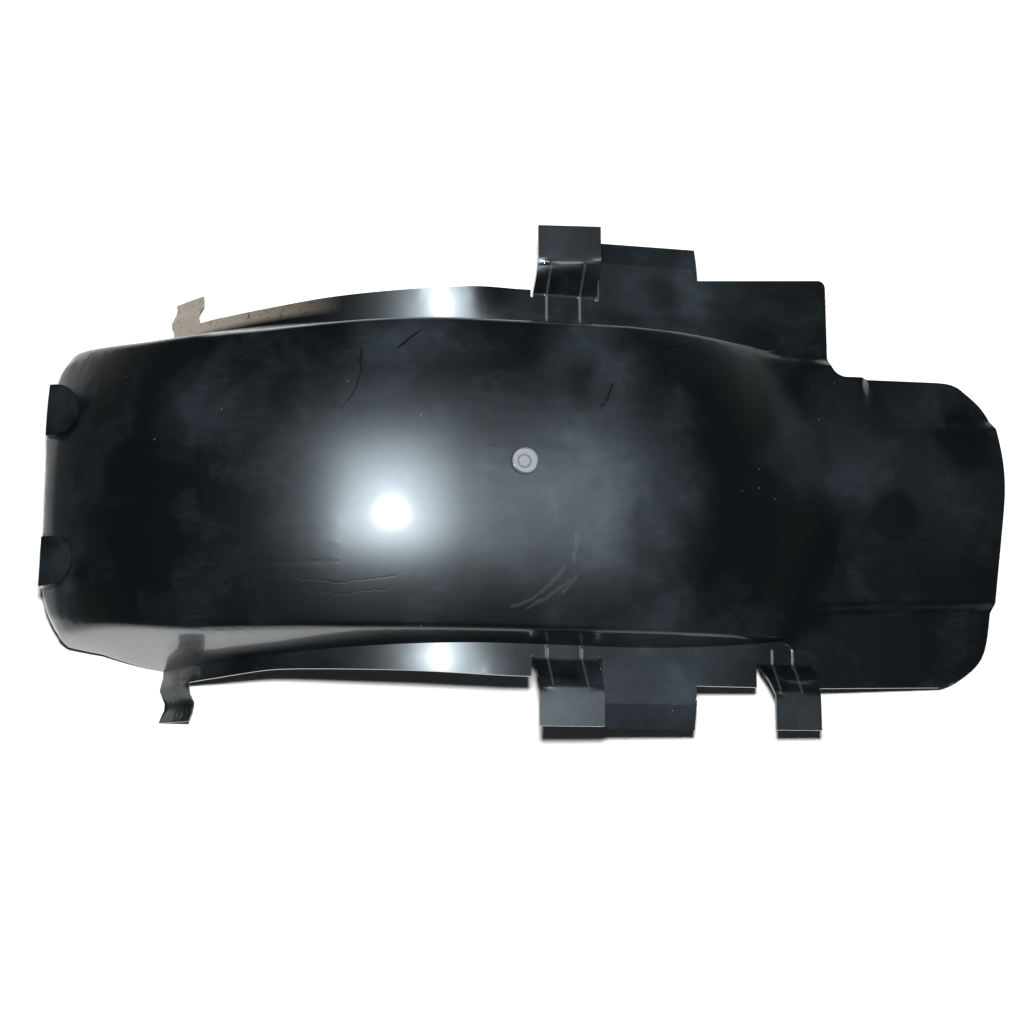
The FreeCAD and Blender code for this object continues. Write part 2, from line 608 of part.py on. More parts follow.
skirt_solid = fuse(
    "skirt_solid", rear_flange, foot_tabs, plate_outline("plate", "sizes.wall"),
    lip("left_lip", "left_wing", "199"), mid_clip("left_clip", "sizes.clip_shift"),
    mirrored("right_lip", lip("right_lip_upright", "right_wing", "204")),
    mirrored("right_clip", mid_clip("right_clip_upright")), mirrored("third_clip", third_clip()))
skirt = cut("skirt", cut("skirt_open", skirt_solid, hood_inner), below_floor)


# D-shaped pads on the tail end: draughted plan, level cut above, hood's inside cut below
def tail_pads():
    out = Outline("pad_plan", Placement())
    rear, wide, long, side = (-value["tail_reach"] - value["pad_overhang"], value["pad_wide"],
                              value["pad_long"], value["pad_offset"])
    straight = long - wide / 2
    hub = (rear + straight, side)
    lower = out.line((rear, side - wide / 2), (hub[0], side - wide / 2))
    rounded = out.arc(hub, wide / 2, -90, 90)
    upper = out.line((hub[0], side + wide / 2), (rear, side + wide / 2))
    back = out.line((rear, side + wide / 2), (rear, side - wide / 2))
    out.rule("Tangent", lower, END, rounded, START)
    out.rule("Tangent", rounded, END, upper, START)
    out.rule("Coincident", upper, END, back, START)
    out.rule("Coincident", back, END, lower, START)
    out.rule("Horizontal", lower)
    out.rule("Horizontal", upper)
    out.rule("Vertical", back)
    out.size("-sizes.tail_reach - sizes.pad_overhang", "DistanceX", -1, 1, lower, START, rear)
    out.size("sizes.pad_wide / 2", "Radius", rounded, wide / 2)
    out.size("sizes.pad_long - sizes.pad_wide / 2", "DistanceX", lower, START, lower, END, straight)
    out.size("sizes.pad_offset", "DistanceY", -1, 1, rounded, CENTRE, side)
    post = extrude("pad_post", out.sketch, "90")
    over = box("pad_over", "80", "120", "80", (
        "-sizes.tail_reach - sizes.pad_overhang - 20 * cos(sizes.pad_slope)", "0",
        PAD_HEIGHT + " - 20 * sin(sizes.pad_slope)"), "-sizes.pad_slope")
    return cut("pad_upper", post, over)


pad_upper = tail_pads()
under_rim = box("under_rim", "120", "400", "100", (
    "-sizes.tail_reach - 60", "-200", PAD_HEIGHT + " - sizes.pad_wide / 2 - 100"))
pads = cut("pads", cut("pads_open", fuse("pads_pair", pad_upper, mirrored("pad_lower", pad_upper)), hood_inner),
           under_rim)


# Gate mark: a shallow well with the cut sprue's disc set off centre in it
def gate_cylinder(label, radius, height, start, off_along="0", off_side="0"):
    solid = doc.addObject("Part::Cylinder", label)
    solid.Placement = Placement(Vector(), Rotation(Vector(0, 1, 0), value["saddle_slope"]))
    saddle_x = "(sizes.crest_along + sizes.saddle_radius * sin(sizes.saddle_slope))"
    saddle_z = "(sizes.crest_height - sizes.saddle_radius * (1 - cos(sizes.saddle_slope)))"
    level = "%s - (sizes.gate_along - %s) * tan(sizes.saddle_slope)" % (saddle_z, saddle_x)
    bind(solid, Radius=radius, Height=height, Placement__Rotation__Angle="sizes.saddle_slope",
         Placement__Base__x="sizes.gate_along + %s + (%s) * sin(sizes.saddle_slope)" % (off_along, start),
         Placement__Base__y="sizes.gate_side + %s" % off_side,
         Placement__Base__z="%s + (%s) * cos(sizes.saddle_slope)" % (level, start))
    return solid


gate_well = gate_cylinder("gate_well", "sizes.gate_radius", "5", "-sizes.gate_depth")
gate_disc = gate_cylinder("gate_disc", "sizes.gate_disc", "sizes.gate_depth + 0.3", "-sizes.gate_depth - 0.2",
                          "0.55", "0.35")
gate_nub = gate_cylinder("gate_nub", "sizes.gate_nub", "sizes.gate_depth + 0.8", "-sizes.gate_depth - 0.2",
                         "0.3", "-0.2")

moulding = fuse("moulding", cut("hood_gated", hood, gate_well), gate_disc, gate_nub, skirt, pads)
fender = doc.addObject("Part::Compound", "rear_fender")
fender.Links = [moulding]
fender.Label = "rear_fender"
bind(fender, Placement__Base__x="-sizes.centre_along", Placement__Base__y="-sizes.clip_shift / 2")

doc.recompute()
for obj in doc.Objects:
    if "Invalid" in obj.State or "Error" in obj.State:
        raise RuntimeError("%s is not up to date: %s" % (obj.Label, obj.State))
    shape = getattr(obj, "Shape", None)
    if shape is not None and (shape.isNull() or not shape.isValid()):
        raise RuntimeError("%s has no valid shape" % obj.Label)
if len(fender.Shape.Solids) != 1:
    raise RuntimeError("the fender is %d solids" % len(fender.Shape.Solids))

os.makedirs("parts", exist_ok=True)
fender.Shape.exportStep("parts/rear_fender.step")
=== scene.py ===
"""Moulded motorcycle rear fender, dressed over its solid model and set on a pale studio floor."""
import math

import bmesh
import bpy
import numpy as np
from bpy.props import FloatProperty, FloatVectorProperty, PointerProperty
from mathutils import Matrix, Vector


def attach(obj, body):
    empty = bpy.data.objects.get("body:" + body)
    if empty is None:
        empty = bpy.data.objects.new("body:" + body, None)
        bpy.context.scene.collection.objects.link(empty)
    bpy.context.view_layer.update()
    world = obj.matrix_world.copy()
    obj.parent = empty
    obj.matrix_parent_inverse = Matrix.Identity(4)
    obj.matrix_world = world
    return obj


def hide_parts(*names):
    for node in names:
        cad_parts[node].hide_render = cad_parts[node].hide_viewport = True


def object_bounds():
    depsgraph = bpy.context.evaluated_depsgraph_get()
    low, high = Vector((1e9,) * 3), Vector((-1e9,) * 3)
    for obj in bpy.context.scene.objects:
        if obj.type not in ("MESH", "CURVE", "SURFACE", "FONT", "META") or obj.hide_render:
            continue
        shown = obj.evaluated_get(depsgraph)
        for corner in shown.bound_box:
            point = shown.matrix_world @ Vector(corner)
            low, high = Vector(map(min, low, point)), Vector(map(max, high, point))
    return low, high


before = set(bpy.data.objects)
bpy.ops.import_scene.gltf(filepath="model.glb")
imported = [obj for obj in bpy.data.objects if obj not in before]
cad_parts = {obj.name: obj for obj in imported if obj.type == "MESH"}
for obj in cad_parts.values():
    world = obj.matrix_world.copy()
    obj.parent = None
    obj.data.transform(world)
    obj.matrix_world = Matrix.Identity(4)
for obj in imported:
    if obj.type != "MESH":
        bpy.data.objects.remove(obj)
CAD_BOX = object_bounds()

bl_info = {
    "name": "Moulded Rear Fender",
    "version": (1, 0, 0),
    "blender": (4, 5, 0),
    "location": "View3D > Sidebar > Fender",
    "description": "Finish of a moulded motorcycle rear fender and the stage it lies on",
    "category": "Object",
}


def linear(hex_code):
    """Linear red, green, blue and alpha of an sRGB hex colour, by the two parts of the sRGB curve."""
    channels = np.array([int(hex_code[i:i + 2], 16) / 255 for i in (1, 3, 5)])
    channels = np.where(channels <= 0.04045, channels / 12.92, ((channels + 0.055) / 1.055) ** 2.4)
    return (*channels.tolist(), 1.0)


def add_node(tree, kind, inputs=None, **settings):
    """Adds one node: settings are its properties, and inputs are values or output sockets.

    An input's key is the name or the index of its socket.
    """
    node = tree.nodes.new(kind)
    for key, setting in settings.items():
        setattr(node, key, setting)
    for key, source in (inputs or {}).items():
        if isinstance(source, bpy.types.NodeSocket):
            tree.links.new(source, node.inputs[key])
        else:
            node.inputs[key].default_value = source
    return node


class MouldingSettings(bpy.types.PropertyGroup):
    """Finish of the moulded plastic."""
    plastic: FloatVectorProperty(name="Plastic", description="Colour of the moulded plastic", subtype="COLOR",
                                 size=4, min=0, max=1, default=linear("#040607"))
    # Colour of the handling film, which in the hazes also paints a broad sheen
    film_and_sheen: FloatVectorProperty(name="Film", description="Colour of the hazy handling film", subtype="COLOR",
                              size=4, min=0, max=1, default=linear("#2a3136"))
    dust: FloatVectorProperty(name="Dust", description="Colour of the dried dust on the tail's left edge",
                              subtype="COLOR", size=4, min=0, max=1, default=linear("#938a7d"))
    # Colour of the gate scar and pale strokes, which also paints the highlight along the clip ribs' tops
    pale_marks_and_rib_highlight: FloatVectorProperty(name="Rub", description="Colour of rubbed ribs and the gate scar",
                             subtype="COLOR", size=4, min=0, max=1, default=linear("#7a7d80"))
    roughness: FloatProperty(name="Roughness", description="Roughness of the clean moulded skin", min=0.05,
                             max=1, default=0.36)
    grain_mm: FloatProperty(name="Grain", description="Width of the mould's fine grain, in millimetres",
                            min=0.2, max=5, default=0.9)


class StageSettings(bpy.types.PropertyGroup):
    """Floor, light and camera."""
    floor: FloatVectorProperty(name="Floor", description="Colour of the floor", subtype="COLOR",
                               size=4, min=0, max=1, default=linear("#f4f4f3"))
    lamp_power: FloatProperty(name="Lamp", description="Power of the lamp beside the camera", unit="POWER",
                              min=0, default=26.0)
    lamp_width: FloatProperty(name="Lamp width", description="Width of the lamp", unit="LENGTH", min=0.01,
                              default=0.09)
    focal: FloatProperty(name="Focal length", description="Focal length on a 36 mm sensor, in millimetres",
                         min=10, default=69.4)
    distance: FloatProperty(name="Camera distance", description="Camera to the centre of view", unit="LENGTH",
                            min=0.2, default=1.25)
    tilt: FloatProperty(name="Camera tilt", description="Angle of the view from straight down",
                        subtype="ANGLE", default=math.radians(10.7))


# Marks read off the moulding, in metres in the row frame. Hazes and smudges: centre, radius and strength
# Hazes are handling film whose pale colour also paints broad sheen, such as on the crown's saddle, the clips
# and the pads
SHEEN_HAZES = (
    ((0.035, -0.012, 0.118), 0.095, 1.0),
    ((-0.075, 0.004, 0.123), 0.085, 0.55),
    ((0.085, 0.118, 0.050), 0.080, 0.6),
    ((0.075, -0.125, 0.050), 0.080, 0.8),
    ((0.195, 0.020, 0.030), 0.060, 0.5),
    ((0.255, 0.010, 0.015), 0.075, 0.3),
    ((-0.195, 0.030, 0.105), 0.040, 0.35),
    ((0.023, 0.146, 0.078), 0.030, 0.2),
    ((0.023, -0.142, 0.078), 0.032, 0.45),
    ((0.159, -0.142, 0.047), 0.026, 0.2),
    ((-0.284, 0.043, 0.060), 0.024, 0.6),
    ((-0.284, -0.054, 0.060), 0.024, 0.6),
    ((-0.070, 0.070, 0.112), 0.050, 0.5),
    ((0.036, 0.058, 0.103), 0.050, 0.7),
    ((0.245, 0.050, 0.022), 0.045, 0.4),
)
SMUDGES = (
    ((0.032, 0.046, 0.101), 0.020, 0.3),
    ((0.081, 0.117, 0.052), 0.020, 0.27),
    ((0.227, -0.103, 0.019), 0.028, 0.42),
    ((0.274, 0.033, 0.014), 0.028, 0.24),
    ((-0.236, -0.001, 0.092), 0.024, 0.36),
    ((0.152, -0.048, 0.042), 0.045, 0.36),
    ((0.226, -0.017, 0.025), 0.022, 0.24),
    ((-0.225, -0.045, 0.090), 0.035, 0.3),
)
# Scrapes, which cut the film, and strokes, which leave it pale: the points of each line in plan
SCRAPES = (
    ((-0.266, -0.062), (-0.251, -0.061), (-0.237, -0.057), (-0.220, -0.053)),
    ((0.157, -0.075), (0.177, -0.085), (0.192, -0.082), (0.233, -0.080), (0.244, -0.084)),
    ((0.216, -0.023), (0.232, -0.027), (0.246, -0.032)),
    ((-0.078, 0.064), (-0.071, 0.071), (-0.066, 0.076)),
    ((-0.100, 0.063), (-0.099, 0.050), (-0.103, 0.037), (-0.111, 0.026)),
    ((0.047, 0.047), (0.045, 0.039), (0.040, 0.033)),
    ((-0.136, -0.070), (-0.110, -0.073), (-0.078, -0.069)),
    ((-0.133, -0.077), (-0.107, -0.079), (-0.084, -0.076)),
    ((0.077, 0.073), (0.096, 0.076)),
)
STROKES = (
    ((-0.012, -0.085), (0.002, -0.079), (0.014, -0.068), (0.018, -0.061)),
    ((0.025, -0.042), (0.025, -0.051), (0.024, -0.058)),
    ((-0.003, -0.085), (0.009, -0.079), (0.021, -0.069)),
    ((0.017, -0.076), (0.026, -0.067)),
)
# Ribs of the clips, whose rounded tops get a painted highlight: place along the part, side, and foot out from
# the middle
RIBS = (
    (0.0091, 1, 0.0960),
    (0.0295, 1, 0.0960),
    (0.0091, -1, 0.1055),
    (0.0295, -1, 0.1055),
    (0.1455, -1, 0.1035),
    (0.1582, -1, 0.1035),
)
RIB_BEND = 0.1108
RIB_TOP = 0.1293
RIB_LEAN = 0.0033
RIB_FEET = tuple(((x, side * foot), (x, side * RIB_BEND)) for x, side, foot in RIBS)
RIB_RAMPS = tuple(((x, side * RIB_BEND), (x + RIB_LEAN, side * RIB_TOP)) for x, side, _ in RIBS)

# How far noise moves the patches and the lines, and the share of a patch or a line that is at full strength
HAZE_STRAY = 0.045
SMUDGE_STRAY = 0.016
LINE_WAVER = 0.004
HAZE_CORE = 0.1
SMUDGE_CORE = 0.25
LINE_CORE = 0.45
# How far each kind of line reaches to either side
SCRAPE_REACH = 0.0007
STROKE_REACH = 0.0012
RIB_FOOT_REACH = 0.0010
RIB_RAMP_REACH = 0.0009
# Gate scar in plan: its hole, whose gap beside the disc gets painted shade, and the pale disc in it, with the
# outer and inner radius of each soft rim
GATE_HOLE_CENTRE = (-0.0047, -0.0017, 0.0)
GATE_HOLE_RIM = (0.0082, 0.0078)
GATE_DISC_CENTRE = (-0.0041, -0.0011, 0.0)
GATE_DISC_RIM = (0.0075, 0.0070)
GATE_RING_RADIUS = 0.0036
GATE_RING_HALF_WIDTH = 0.0006
# Where the dust starts and where it is full, along the part and across it
DUST_X = (-0.115, -0.21)
DUST_Y = (0.098, 0.102)
# Marks in plan show only on skin whose normal rises at least this much
LEAST_RISE = 0.15
MID_GREY = (0.5, 0.5, 0.5)


def strongest(tree, layers):
    """The greatest of several layers at each point: the first, then its maximum with each of the others."""
    total = layers[0]
    for layer in layers[1:]:
        total = add_node(tree, "ShaderNodeMath", {0: total, 1: layer}, operation="MAXIMUM").outputs[0]
    return total


def soft_patches(tree, patches, place, core):
    """Round patches: each is at full strength within a core share of its radius, and eases to nothing at it.

    Where patches overlap, the strongest shows.
    """
    layers = []
    for centre, radius, strength in patches:
        away = add_node(tree, "ShaderNodeVectorMath", {0: place, 1: centre}, operation="DISTANCE")
        patch = add_node(tree, "ShaderNodeMapRange",
                         {"Value": away.outputs["Value"], "From Min": radius, "From Max": radius * core,
                          "To Max": strength}, interpolation_type="SMOOTHSTEP")
        layers.append(patch.outputs["Result"])
    return strongest(tree, layers)


def soft_lines(tree, lines, plan, reach):
    """Lines in plan: each is one within a core share of its reach, and falls evenly to nothing at its reach.

    The share of a piece's run that is passed is the way from its start dotted with the run, over the run's
    length squared, held between 0 and 1. The distance is the way from its start less that share of the run.
    """
    layers = []
    for start, end in (pair for line in lines for pair in zip(line[:-1], line[1:])):
        run = np.array([end[0] - start[0], end[1] - start[1], 0.0])
        from_start = add_node(tree, "ShaderNodeVectorMath", {0: plan, 1: (*start, 0.0)}, operation="SUBTRACT")
        way = from_start.outputs[0]
        along = add_node(tree, "ShaderNodeVectorMath", {0: way, 1: tuple(run / run.dot(run))},
                         operation="DOT_PRODUCT")
        share = add_node(tree, "ShaderNodeClamp", {"Value": along.outputs["Value"]})
        passed = add_node(tree, "ShaderNodeVectorMath", {0: tuple(run), "Scale": share.outputs["Result"]},
                          operation="SCALE")
        away = add_node(tree, "ShaderNodeVectorMath", {0: way, 1: passed.outputs[0]}, operation="DISTANCE")
        line = add_node(tree, "ShaderNodeMapRange", {"Value": away.outputs["Value"], "From Min": reach,
                                                     "From Max": reach * LINE_CORE})
        layers.append(line.outputs["Result"])
    return strongest(tree, layers)


def gate_scar_and_gap_shade(tree, plan, upward):
    """The gate's pale scar and the painted shade of the gap beside it.

    The scar is a disc with a duller ring in it. The painted shade lies to its lower left, as the hole less
    the disc.
    """
    from_hole = add_node(tree, "ShaderNodeVectorMath", {0: plan, 1: GATE_HOLE_CENTRE}, operation="DISTANCE")
    from_disc = add_node(tree, "ShaderNodeVectorMath", {0: plan, 1: GATE_DISC_CENTRE}, operation="DISTANCE")
    hole = add_node(tree, "ShaderNodeMapRange", {"Value": from_hole.outputs["Value"],
                                                 "From Min": GATE_HOLE_RIM[0], "From Max": GATE_HOLE_RIM[1],
                                                 "To Max": upward})
    disc = add_node(tree, "ShaderNodeMapRange", {"Value": from_disc.outputs["Value"],
                                                 "From Min": GATE_DISC_RIM[0], "From Max": GATE_DISC_RIM[1],
                                                 "To Max": upward})
    ring = add_node(tree, "ShaderNodeMath", {0: from_hole.outputs["Value"], 1: GATE_RING_RADIUS,
                                             2: GATE_RING_HALF_WIDTH}, operation="COMPARE")
    dulled = add_node(tree, "ShaderNodeMath", {0: ring.outputs[0], 1: -0.5, 2: 0.9}, operation="MULTIPLY_ADD")
    scar = add_node(tree, "ShaderNodeMath", {0: disc.outputs["Result"], 1: dulled.outputs[0]},
                    operation="MULTIPLY")
    painted_gap_shade = add_node(tree, "ShaderNodeMath", {0: hole.outputs["Result"], 1: disc.outputs["Result"]},
                        operation="SUBTRACT", use_clamp=True)
    return scar.outputs[0], painted_gap_shade.outputs[0]


def dust_and_grit(tree, place):
    """Dried beige dust on the left edge of the tail, and pale grit scattered thinly all over.

    The dust is a ramp along the part times a ramp across it, times noise that scuffs through it at 5 mm. The
    grit is the middles of one cell in seven of a pattern of 10 mm cells, about 0.7 mm across.
    """
    axes = add_node(tree, "ShaderNodeSeparateXYZ", {"Vector": place})
    tail = add_node(tree, "ShaderNodeMapRange", {"Value": axes.outputs["X"], "From Min": DUST_X[0],
                                                 "From Max": DUST_X[1]})
    edge = add_node(tree, "ShaderNodeMapRange", {"Value": axes.outputs["Y"], "From Min": DUST_Y[0],
                                                 "From Max": DUST_Y[1]})
    scuff = add_node(tree, "ShaderNodeTexNoise", {"Vector": place, "Scale": 190.0, "Detail": 5.0,
                                                  "Roughness": 0.6, "Distortion": 1.5})
    through = add_node(tree, "ShaderNodeMapRange", {"Value": scuff.outputs["Fac"], "From Min": 0.28,
                                                    "From Max": 0.42})
    corner = add_node(tree, "ShaderNodeMath", {0: tail.outputs["Result"], 1: edge.outputs["Result"]},
                      operation="MULTIPLY")
    dust = add_node(tree, "ShaderNodeMath", {0: corner.outputs[0], 1: through.outputs["Result"]},
                    operation="MULTIPLY")
    cells = add_node(tree, "ShaderNodeTexVoronoi", {"Vector": place, "Scale": 95.0}, feature="F1")
    speck = add_node(tree, "ShaderNodeMapRange", {"Value": cells.outputs["Distance"], "From Min": 0.05,
                                                  "From Max": 0.02, "To Max": 0.5})
    pick = add_node(tree, "ShaderNodeSeparateColor", {"Color": cells.outputs["Color"]})
    rare = add_node(tree, "ShaderNodeMath", {0: pick.outputs["Red"], 1: 0.86}, operation="GREATER_THAN")
    grit = add_node(tree, "ShaderNodeMath", {0: speck.outputs["Result"], 1: rare.outputs[0]},
                    operation="MULTIPLY")
    return dust.outputs[0], grit.outputs[0]


def moulded_polypropylene(settings):
    """Black polypropylene, injection moulded in a polished tool: a dark body under a smooth skin.

    The skin mirrors sharply at a glance, and a haze of handling film lies over it, its pale blue-grey also
    painting a broad sheen.
    Wiping has left strokes, smudges and a few scrapes in the film. Dried dust lies on the tail's left edge.
    The clip ribs' tops carry a painted highlight, and the gap beside the gate scar carries painted shade.
    """
    material = bpy.data.materials.new("moulded_polypropylene")
    material.use_nodes = True
    tree = material.node_tree
    tree.nodes.clear()
    place = add_node(tree, "ShaderNodeTexCoord").outputs["Object"]

    # Hazes add film with painted sheen and smudges wipe it off, each a soft round patch whose edge is bent by
    # noise at 30 mm
    bend = add_node(tree, "ShaderNodeTexNoise", {"Vector": place, "Scale": 34.0, "Detail": 5.0,
                                                 "Roughness": 0.6})
    bent = add_node(tree, "ShaderNodeVectorMath", {0: bend.outputs["Color"], 1: MID_GREY},
                    operation="SUBTRACT")
    strayed, nearer = (
        add_node(tree, "ShaderNodeVectorMath", {0: bent.outputs[0], 1: (stray, stray, stray), 2: place},
                 operation="MULTIPLY_ADD").outputs[0]
        for stray in (HAZE_STRAY, SMUDGE_STRAY))
    sheen_hazes = soft_patches(tree, SHEEN_HAZES, strayed, HAZE_CORE)
    smudges = soft_patches(tree, SMUDGES, nearer, SMUDGE_CORE)

    # Cloth strokes: noise drawn out 5 to 1 across the crown, showing only where a 45 mm cloud is dense
    turned = add_node(tree, "ShaderNodeMapping", {"Vector": place, "Rotation": (0, 0, math.radians(-28)),
                                                  "Scale": (30.0, 160.0, 40.0)})
    cloth = add_node(tree, "ShaderNodeTexNoise", {"Vector": turned.outputs["Vector"], "Scale": 1.0,
                                                  "Detail": 4.0, "Roughness": 0.55, "Distortion": 2.2})
    cloud = add_node(tree, "ShaderNodeTexNoise", {"Vector": place, "Scale": 22.0, "Detail": 7.0,
                                                  "Roughness": 0.62, "Distortion": 0.4})
    dense = add_node(tree, "ShaderNodeMapRange", {"Value": cloud.outputs["Fac"], "From Min": 0.45,
                                                  "From Max": 0.65}, interpolation_type="SMOOTHSTEP")
    drawn = add_node(tree, "ShaderNodeMapRange", {"Value": cloth.outputs["Fac"], "From Min": 0.48,
                                                  "From Max": 0.62}, interpolation_type="SMOOTHSTEP")
    wipes = add_node(tree, "ShaderNodeMath", {0: drawn.outputs["Result"], 1: dense.outputs["Result"]},
                     operation="MULTIPLY")

    # Lines: scrapes and strokes are wavered by noise, and the painted highlights along the ribs' tops are
    # straight
    waver = add_node(tree, "ShaderNodeTexNoise", {"Vector": place, "Scale": 140.0, "Detail": 3.0})
    shift = add_node(tree, "ShaderNodeVectorMath", {0: waver.outputs["Color"], 1: MID_GREY},
                     operation="SUBTRACT")
    moved = add_node(tree, "ShaderNodeVectorMath",
                     {0: shift.outputs[0], 1: (LINE_WAVER, LINE_WAVER, 0.0), 2: place},
                     operation="MULTIPLY_ADD")
    normal = add_node(tree, "ShaderNodeNewGeometry").outputs["Normal"]
    facing = add_node(tree, "ShaderNodeSeparateXYZ", {"Vector": normal})
    upward = add_node(tree, "ShaderNodeMath", {0: facing.outputs["Z"], 1: LEAST_RISE},
                      operation="GREATER_THAN").outputs[0]
    # The height is left out of each distance, so that a line holds to the skin whatever its height
    plan, wavered = (
        add_node(tree, "ShaderNodeVectorMath", {0: spot, 1: (1.0, 1.0, 0.0)}, operation="MULTIPLY").outputs[0]
        for spot in (place, moved.outputs[0]))
    cuts, pale, rib_foot_highlight, rib_ramp_highlight = (
        add_node(tree, "ShaderNodeMath", {0: soft_lines(tree, lines, where, reach), 1: upward},
                 operation="MULTIPLY").outputs[0]
        for lines, where, reach in ((SCRAPES, wavered, SCRAPE_REACH), (STROKES, wavered, STROKE_REACH),
                                    (RIB_FEET, plan, RIB_FOOT_REACH), (RIB_RAMPS, plan, RIB_RAMP_REACH)))
    scar, painted_gap_shade = gate_scar_and_gap_shade(tree, plan, upward)
    # The gap's painted shade takes the film off as the scrapes do, leaving the dark plastic
    scrapes_and_gap_shade = strongest(tree, [cuts, painted_gap_shade])
    # The pale gate scar and strokes, and painted highlights along each rib's foot and ramp at lower strengths
    pale_mark_and_rib_highlight_layers = [scar]
    for layer, strength in ((pale, 0.07), (rib_foot_highlight, 0.4), (rib_ramp_highlight, 0.12)):
        weak = add_node(tree, "ShaderNodeMath", {0: layer, 1: strength}, operation="MULTIPLY")
        pale_mark_and_rib_highlight_layers.append(weak.outputs[0])
    pale_marks_and_rib_highlight = strongest(tree, pale_mark_and_rib_highlight_layers)

    # Film with painted sheen: the hazes broken up by the cloud, with cloth strokes and cloud added, less the
    # smudges, the scrapes and the painted gap shade
    broken = add_node(tree, "ShaderNodeMapRange", {"Value": cloud.outputs["Fac"], "From Min": 0.3,
                                                   "From Max": 0.62, "To Min": 0.35, "To Max": 1.0})
    spread = add_node(tree, "ShaderNodeMath", {0: sheen_hazes, 1: broken.outputs["Result"]}, operation="MULTIPLY")
    wiped = add_node(tree, "ShaderNodeMath", {0: wipes.outputs[0], 1: 0.10, 2: spread.outputs[0]},
                     operation="MULTIPLY_ADD")
    laid = add_node(tree, "ShaderNodeMath", {0: dense.outputs["Result"], 1: 0.13, 2: wiped.outputs[0]},
                    operation="MULTIPLY_ADD")
    bare = strongest(tree, [smudges, scrapes_and_gap_shade])
    film_and_sheen = add_node(tree, "ShaderNodeMath", {0: laid.outputs[0], 1: bare},
                    operation="SUBTRACT", use_clamp=True)
    dust, grit = dust_and_grit(tree, place)
    dirt = strongest(tree, [dust, grit])

    # Sockets 6 and 7 and output 2 of a mix node are its colours
    # Film colour, which in the hazes is painted sheen
    film_and_sheen_colour = add_node(tree, "ShaderNodeMix", {0: film_and_sheen.outputs[0], 6: settings.plastic, 7: settings.film_and_sheen},
                     data_type="RGBA")
    # Mixes in the gate scar, the pale strokes and the painted rib highlights
    highlighted = add_node(tree, "ShaderNodeMix", {0: pale_marks_and_rib_highlight, 6: film_and_sheen_colour.outputs[2], 7: settings.pale_marks_and_rib_highlight}, data_type="RGBA")
    colour = add_node(tree, "ShaderNodeMix", {0: dirt, 6: highlighted.outputs[2], 7: settings.dust},
                      data_type="RGBA")
    smooth = add_node(tree, "ShaderNodeMapRange", {"Value": film_and_sheen.outputs[0],
                                                   "To Min": settings.roughness - 0.02,
                                                   "To Max": settings.roughness + 0.03})
    rough = add_node(tree, "ShaderNodeMath", {0: dust, 1: 0.35, 2: smooth.outputs["Result"]},
                     operation="MULTIPLY_ADD", use_clamp=True)
    grain = add_node(tree, "ShaderNodeTexNoise", {"Vector": place, "Scale": 1000 / settings.grain_mm,
                                                  "Detail": 2.0, "Roughness": 0.6})
    fine = add_node(tree, "ShaderNodeBump", {"Height": grain.outputs["Fac"], "Strength": 0.015,
                                             "Distance": 0.0004})
    bump = add_node(tree, "ShaderNodeBump", {"Height": scrapes_and_gap_shade, "Strength": 0.08, "Distance": 0.0003,
                                             "Normal": fine.outputs["Normal"]}, invert=True)
    shader = add_node(tree, "ShaderNodeBsdfPrincipled", {
        "Base Color": colour.outputs[2], "Roughness": rough.outputs[0], "IOR": 1.49,
        "Specular IOR Level": 0.5, "Specular Tint": linear("#dcebf5"), "Normal": bump.outputs["Normal"],
        "Coat Weight": 0.45, "Coat Roughness": 0.07, "Coat IOR": 1.5})
    add_node(tree, "ShaderNodeOutputMaterial", {"Surface": shader.outputs["BSDF"]})
    return material


def studio_floor(settings):
    """Matt pale board, evenly painted."""
    material = bpy.data.materials.new("pale_board")
    material.use_nodes = True
    shader = material.node_tree.nodes["Principled BSDF"]
    shader.inputs["Base Color"].default_value = settings.floor
    shader.inputs["Roughness"].default_value = 0.9
    return material


# The drawing's frame is the row frame moved by this much, in metres
DRAWING_SHIFT = np.array([0.00218, 0.00575, 0.0])
# Sizes of the drawing: the plate, the crown's crest, the circle behind it and the parabola before it
NOSE_END = 0.299
PLATE_SLOPE = math.radians(13)
CREST_X = -0.104
CREST_HEIGHT = 0.125
TAIL_RADIUS = 0.2728
FRONT_SPREAD = 0.84
# The rear flanges' arch, the end of the wall that follows it, and the roots of the flanges and the foot tabs
ARCH_X = -0.0599
ARCH_Z = -0.1363
ARCH_RADIUS = 0.216
WALL_END = -0.2275
WALL_END_RISE = 0.2
FLANGE_ROOT = 0.096
TAB_ROOT = 0.112
TAB_FRONT = -0.19
# Frame clips: middle along the plate, half width, side, root out from the middle, and twist
CLIPS = (
    (-0.2847, 0.0202, 1, 0.1155, 0.14),
    (-0.2847, 0.0202, -1, 0.104, 0.08),
    (-0.1480, 0.0177, -1, 0.104, 0.09),
)

# How the loaded skin is split, in the row frame: edge lengths, the pads at the tail and the clips in plan
MERGE_DISTANCE = 2e-5
SPLIT_ROUNDS = 9
LONGEST_EDGE = 0.006
CLIP_EDGE = 0.0032
PAD_EDGE = 0.0016
PAD_FRONT = -0.262
PAD_MIDDLE = 0.0486
PAD_HALF_WIDTH = 0.019
CLIP_MIDDLES = (0.0227, 0.1588)
CLIP_HALF_WIDTH = 0.0203
CLIP_FOOT = 0.1
# Which edges stay crisp: those over an angle, outside the end panel's soft creases
CRISP_ANGLE = math.radians(50)
SOFT_CREASES_X = (0.12, 0.268)
SOFT_CREASES_Y = (-0.078, 0.066)
